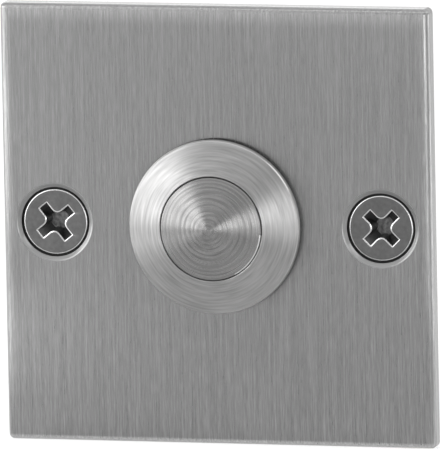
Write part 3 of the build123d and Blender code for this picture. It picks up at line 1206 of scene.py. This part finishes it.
@dataclass
class PushCap:
    """The button, a low cone with a rounded tip, with its spring pocket, stem and spigot.

    Attributes:
        slope: The slope of the cone, in degrees.
        tip_round: The radius of the tip's rounding.
        tip_steps: The number of faces along the tip.
        edge_ease: The rounding of the button's edge.
        glint_arc: The arc of the edge painted near white as a glint, in degrees clockwise from the top.
        foot: The level of the skirt's foot.
        foot_ease: The easing of the skirt, the stem and the spigot at their ends.
        pocket: The inner and outer radius of the spring's pocket.
        pocket_top: The level of the pocket's bottom.
        stem: The radius of the stem.
        stem_end: The level of the stem's end.
        clip_groove: The radius and the two levels of the clip's groove.
        spigot: The radius of the spigot.
    """

    slope: float = 12.4
    tip_round: float = 6.0
    tip_steps: int = 10
    edge_ease: float = 0.16
    glint_arc: tuple[float, float] = (96.0, 152.0)
    foot: float = -2.02
    foot_ease: float = 0.1
    pocket: tuple[float, float] = (3.5, 4.4)
    pocket_top: float = -4.02
    stem: float = 2.0
    stem_end: float = 2.78
    clip_groove: tuple[float, float, float] = (1.5, 1.78, 2.4)
    spigot: float = 0.8

    def build(self) -> Object:
        """Model the cap and dress it.

        Returns:
            The piece.
        """
        low, high = node_box("push_cap")
        radius = high.x
        bm = bmesh.new()
        tip = self.tip(bm, low.y)
        edge_level = tip.co.y + (radius - tip.co.x) * math.tan(math.radians(self.slope))
        edge = Corner(radius, edge_level, self.edge_ease)
        trace(bm, [edge, *self.below(radius, high.y)], start=tip)
        spin_blank(bm, FINE_STEPS)
        # Painted glint: an arc of the button's edge takes the near-white steel
        ease = self.edge_ease
        glint_arc = Band(radius - ease, edge_level + ease, front=edge_level - ease, arc=self.glint_arc)
        glint_arc.dress(bm, CAP_FINISHES.index(PAINTED_GLINT))
        return publish(bm, "coned_button", CAP_FINISHES, Body.BUTTON, ["push_cap"])

    def tip(self, bm: BMesh, apex: float) -> BMVert:
        """Draw the arc of the tip from the apex outwards.

        Args:
            bm: The mesh of the outline.
            apex: The level of the apex.

        Returns:
            The vertex where the cone's flank starts.
        """
        made = bmesh.ops.spin(
            bm,
            geom=[bm.verts.new((0, apex, 0))],
            cent=(0, apex + self.tip_round, 0),
            axis=(0, 0, 1),
            angle=math.radians(self.slope),
            steps=self.tip_steps,
        )
        return verts_of(made["geom_last"])[0]

    def below(self, radius: float, end: float) -> list[Corner]:
        """Draw up what lies behind the button's edge, from the skirt to the spigot.

        Args:
            radius: The radius of the button.
            end: The level of the spigot's end.

        Returns:
            The corners.
        """
        inner, outer = self.pocket
        groove, groove_start, groove_end = self.clip_groove
        return [
            Corner(radius, self.foot, self.foot_ease),
            Corner(outer, self.foot),
            Corner(outer, self.pocket_top),
            Corner(inner, self.pocket_top),
            Corner(inner, self.foot),
            Corner(self.stem, self.foot),
            Corner(self.stem, groove_start),
            Corner(groove, groove_start),
            Corner(groove, groove_end),
            Corner(self.stem, groove_end),
            Corner(self.stem, self.stem_end, self.foot_ease),
            Corner(self.spigot, self.stem_end),
            Corner(self.spigot, end, self.foot_ease),
            Corner(0, end),
        ]


# The rear


@dataclass
class RearPiece:
    """A piece behind the plate or inside the barrel that keeps the shape of its solid.

    Attributes:
        node: The node that it stands for.
        finish: The finish that dresses it.
        body: The body that it rides on.
        ease: The easing of its edges.
    """

    node: str
    finish: Finish
    body: Body
    ease: float

    def build(self) -> Object:
        """Copy the solid with eased edges and dress it."""
        copy = copy_of(self.node, self.ease)
        return publish(copy, f"{self.node}_piece", [self.finish], self.body, [self.node])


# Each piece of a terminal: kind, finish, easing
TERMINAL_PIECES = (
    ("terminal_stud", CONTACT_BRASS, 0.05),
    ("wire_clamp", PLATED_STEEL, 0.06),
    ("terminal_screw", PLATED_STEEL, 0.08),
)
REAR_PIECES = (
    RearPiece("mounting_nut", PLATED_STEEL, Body.MOUNTING, 0.12),
    RearPiece("lock_washer", PLATED_STEEL, Body.MOUNTING, 0.06),
    RearPiece("panel_seal", SEAL_RUBBER, Body.MOUNTING, 0.05),
    RearPiece("insulating_base", BASE_PLASTIC, Body.MOUNTING, 0.12),
    RearPiece("retaining_clip", SPRING_STEEL, Body.BUTTON, 0.05),
    RearPiece("contact_carrier", CARRIER_PLASTIC, Body.BUTTON, 0.06),
    RearPiece("contact_bridge", CONTACT_BRASS, Body.BRIDGE, 0.05),
    *(
        RearPiece(f"{kind}_{side.label}", finish, Body.MOUNTING, ease)
        for side in Side
        for kind, finish, ease in TERMINAL_PIECES
    ),
)


@dataclass
class CoilSpring:
    """A compression spring of round wire with a closed turn at each end.

    Attributes:
        node: The node that it stands for.
        joint: The joint meant to press it; not used.
        travel: How far it is pressed; not used.
        anchor_front: Whether its front end stays with its body; not used.
        body: The body that it rides on.
        wire: The diameter of the wire.
        active_turns: The number of free turns.
        steps: The number of faces for each turn.
        wire_steps: The number of faces round the wire.
    """

    node: str
    joint: str
    travel: float
    anchor_front: bool
    body: Body
    wire: float
    active_turns: float
    steps: int = 40
    wire_steps: int = 12

    def build(self) -> Object:
        """Model the spring and dress it.

        Returns:
            The piece.
        """
        low, high = node_box(self.node)
        half = self.wire / 2
        bm = bmesh.new()
        place = Matrix.Translation((high.x - half, low.y + half, 0))
        bmesh.ops.create_circle(bm, segments=self.wire_steps, radius=half, matrix=place)
        geom = bm.verts[:] + bm.edges[:]
        closed = (1.0, self.wire)
        free = (self.active_turns, high.y - low.y - 3 * self.wire)
        for turns, rise in (closed, free, closed):
            count = round(turns * self.steps)
            geom = bmesh.ops.spin(
                bm,
                geom=geom,
                cent=(0, 0, 0),
                axis=AXIS,
                dvec=(0, rise / count, 0),
                angle=FULL_TURN * turns,
                steps=count,
            )["geom_last"]
        ends = [edge for edge in bm.edges if edge.is_boundary]
        bmesh.ops.holes_fill(bm, edges=ends, sides=self.wire_steps)
        bmesh.ops.recalc_face_normals(bm, faces=bm.faces[:])
        piece = publish(bm, f"{self.node}_wire", [SPRING_STEEL], self.body, [self.node])
        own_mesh(piece)
        return piece


SPRINGS = (
    CoilSpring(
        "return_spring", "button_press", travel=1.5, anchor_front=False, body=Body.MOUNTING, wire=0.5,
        active_turns=1.5,
    ),
    CoilSpring(
        "contact_spring", "bridge_give", travel=0.5, anchor_front=True, body=Body.BUTTON, wire=0.3,
        active_turns=2.0,
    ),
)


# The studio


@dataclass(frozen=True)
class SoftBox:
    """A soft rectangular lamp that faces the object.

    Attributes:
        name: The lamp's name.
        azimuth: Its direction from the front towards the right, in degrees.
        elevation: Its height above the horizon, in degrees.
        distance: Its distance, in metres.
        width: Its width, in metres.
        height: Its height, in metres.
        level: The brightness of its face.
    """

    name: str
    azimuth: float
    elevation: float
    distance: float
    width: float
    height: float
    level: float

    def build(self) -> Object:
        """Make the lamp and turn it to the object.

        Returns:
            The lamp.
        """
        around, above = math.radians(self.azimuth), math.radians(self.elevation)
        reach = math.cos(above)
        way = Vector((math.sin(around) * reach, -math.cos(around) * reach, math.sin(above)))
        data = bpy.data.lights.new(self.name, "AREA")
        data.shape = "RECTANGLE"
        data.size = self.width
        data.size_y = self.height
        data.energy = self.level * math.pi * self.width * self.height
        lamp = bpy.data.objects.new(self.name, data)
        turned = way.to_track_quat("Z", "Y").to_matrix().to_4x4()
        lamp.matrix_world = Matrix.Translation(way * self.distance) @ turned
        lamp.visible_camera = False
        bpy.context.scene.collection.objects.link(lamp)
        return lamp


# Each lamp: name, azimuth, elevation, distance, width, height, level
LAMPS = (
    SoftBox("left_box", -60.0, 11.0, 0.20, 0.21, 0.13, 1.70),
    SoftBox("left_near", -40.0, 24.0, 0.24, 0.08, 0.12, 1.38),
    SoftBox("left_card", -70.0, -5.0, 0.075, 0.06, 0.037, 0.30),
    SoftBox("left_low", -52.0, -7.0, 0.09, 0.05, 0.028, 0.32),
    SoftBox("left_foot", -60.0, -19.0, 0.064, 0.05, 0.012, 0.46),
    SoftBox("right_box", 38.0, 4.5, 0.22, 0.12, 0.075, 0.85),
    SoftBox("right_mid", 20.0, 0.6, 0.24, 0.06, 0.06, 2.88),
    SoftBox("right_foot", 28.0, -9.0, 0.125, 0.10, 0.014, 0.58),
    SoftBox("right_toe", 38.0, -13.0, 0.095, 0.06, 0.012, 0.35),
    SoftBox("right_card", 97.0, -2.0, 0.10, 0.05, 0.045, 1.07),
    SoftBox("right_high", 78.0, 38.0, 0.30, 0.16, 0.16, 1.2),
    SoftBox("top_box", 0.0, 52.0, 0.8, 0.9, 0.4, 0.64),
    SoftBox("rear_box", -150.0, 35.0, 0.9, 0.6, 0.5, 1.27),
)


@dataclass(frozen=True)
class FloorGlow:
    """A stretch of the floor that shows brighter in the object's surfaces.

    Attributes:
        start: Where the glow begins along Y, in metres.
        full: Where the glow reaches its level, in metres.
        level: The brightness that it adds.
    """

    start: float
    full: float
    level: float

    def show(self, nodes: Shading, away: NodeSocket) -> NodeSocket:
        """Give the brightness that the glow adds at a place along Y."""
        return nodes.ranged(away, self.start, self.full, 0.0, self.level)


FLOOR_GLOWS = (
    FloorGlow(-0.0038, -0.002, 0.49),
    FloorGlow(-0.12, -0.01, 0.23),
    FloorGlow(-0.34, -0.9, 0.67),
)


@dataclass
class Studio:
    """A pale floor, soft light and the photograph's camera.

    Attributes:
        yaw: The camera's turn to the right of the plate's axis, in degrees.
        pitch: The camera's height above it, in degrees.
        roll: The camera's roll, in degrees.
        distance: The camera's distance, in metres.
        aim: The point of the plate in the middle of the image, in metres.
        lens: The focal length, in millimetres.
        sensor: The width of the sensor, in millimetres.
        far: How far the camera sees, in metres.
        floor_size: Half of the floor's side, in metres.
        floor_grey: The floor's colour.
        floor_lift: The brightness that the floor gains towards white for the camera.
        ambient: The brightness of the surroundings in the object's surfaces.
        left_ambient: The brightness of the surroundings to the left.
        left_range: Where along X the surroundings start to brighten, and where they are brightest.
        rear_range: Where along Y the surroundings start to turn white in shiny surfaces, and where they are.
    """

    yaw: float = 15.02
    pitch: float = 8.57
    roll: float = 1.10
    distance: float = 1.6896
    aim: tuple[float, float] = (0.00017, 0.00018)
    lens: float = 1200.0
    sensor: float = 36.0
    far: float = 100.0
    floor_size: float = 3.0
    floor_grey: float = 0.46
    floor_lift: float = 0.70
    ambient: float = 0.47
    left_ambient: float = 0.82
    left_range: tuple[float, float] = (0.5, -0.9)
    rear_range: tuple[float, float] = (-0.3, 0.1)

    def build(self) -> None:
        """Make the floor, the lamps, the surroundings and the camera."""
        self.floor()
        for lamp in LAMPS:
            log.info("lit %s", lamp.build().name)
        self.surroundings()
        self.camera()
        bpy.context.scene.view_settings.view_transform = "Standard"

    def floor(self) -> None:
        """Lay the floor under the plate's lower edge."""
        bm = bmesh.new()
        place = Matrix.Translation((0, 0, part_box("face_plate")[0].z))
        bmesh.ops.create_grid(bm, x_segments=1, y_segments=1, size=self.floor_size, matrix=place)
        mesh = bpy.data.meshes.new("pale_floor")
        bm.to_mesh(mesh)
        bm.free()
        mesh.materials.append(self.floor_paint())
        floor = bpy.data.objects.new("pale_floor", mesh)
        bpy.context.scene.collection.objects.link(floor)

    def floor_paint(self) -> Material:
        """Make the floor white for the camera, and brighter in stretches for the object's surfaces.

        Returns:
            The floor's material.
        """
        paint = bpy.data.materials.new("pale_floor")
        paint.use_nodes = True
        nodes = Shading(paint.node_tree)
        diffuse = nodes.add("BsdfDiffuse", {"Color": (*grey(self.floor_grey), 1.0)})
        away = nodes.add("SeparateXYZ", {0: nodes.place()}).outputs["Y"]
        path = nodes.add("LightPath").outputs
        glow: Value = 0.0
        for stretch in FLOOR_GLOWS:
            glow = nodes.math("ADD", glow, stretch.show(nodes, away))
        white = nodes.math("MULTIPLY", path["Is Camera Ray"], self.floor_lift)
        shiny = nodes.math("MULTIPLY", path["Is Glossy Ray"], glow)
        lift = nodes.add("Emission", {"Strength": nodes.math("ADD", white, shiny)})
        nodes.output(nodes.add("AddShader", {0: diffuse.outputs[0], 1: lift.outputs[0]}))
        return paint

    def surroundings(self) -> None:
        """Make the surroundings white behind the object and a soft grey in front of it."""
        world = bpy.data.worlds.new("studio")
        world.use_nodes = True
        nodes = Shading(world.node_tree)
        path = nodes.add("LightPath").outputs
        way = nodes.add("SeparateXYZ", {0: nodes.add("TexCoord").outputs["Generated"]}).outputs
        behind = nodes.ranged(way["Y"], *self.rear_range, 0.0, 1.0)
        shiny = nodes.math("MAXIMUM", path["Is Glossy Ray"], path["Is Transmission Ray"])
        white = nodes.math("MAXIMUM", path["Is Camera Ray"], nodes.math("MULTIPLY", shiny, behind))
        around = nodes.ranged(way["X"], *self.left_range, self.ambient, self.left_ambient)
        strength = nodes.ranged(white, 0.0, 1.0, around, 1.0)
        light = nodes.add("Background", {"Strength": strength, "Color": (*grey(1.0), 1.0)})
        nodes.add("OutputWorld", {"Surface": light.outputs[0]})
        bpy.context.scene.world = world

    def camera(self) -> None:
        """Set the camera at the photograph's viewing angle."""
        data = bpy.data.cameras.new("camera")
        data.lens = self.lens
        data.sensor_width = self.sensor
        data.clip_end = self.far
        camera = bpy.data.objects.new("camera", data)
        turns = ((90.0, "X"), (self.yaw, "Y"), (-self.pitch, "X"), (-self.roll, "Z"))
        place = Matrix.Identity(4)
        for angle, axis in turns:
            place = place @ Matrix.Rotation(math.radians(angle), 4, axis)
        camera.matrix_world = place @ Matrix.Translation((-self.aim[0], -self.aim[1], self.distance))
        bpy.context.scene.collection.objects.link(camera)
        bpy.context.scene.camera = camera


def main() -> None:
    """Build the doorbell push, then the studio round it."""
    logging.basicConfig(level=logging.INFO, format="%(message)s")
    screws = [FixingScrew(side) for side in Side]
    parts: list[Part] = [FacePlate(), *screws, BezelBody(), PushCap(), *REAR_PIECES, *SPRINGS]
    for part in parts:
        piece = part.build()
        log.info("built %s: %d faces", piece.name, len(piece.data.polygons))
    Studio().build()


if __name__ == "__main__":
    main()
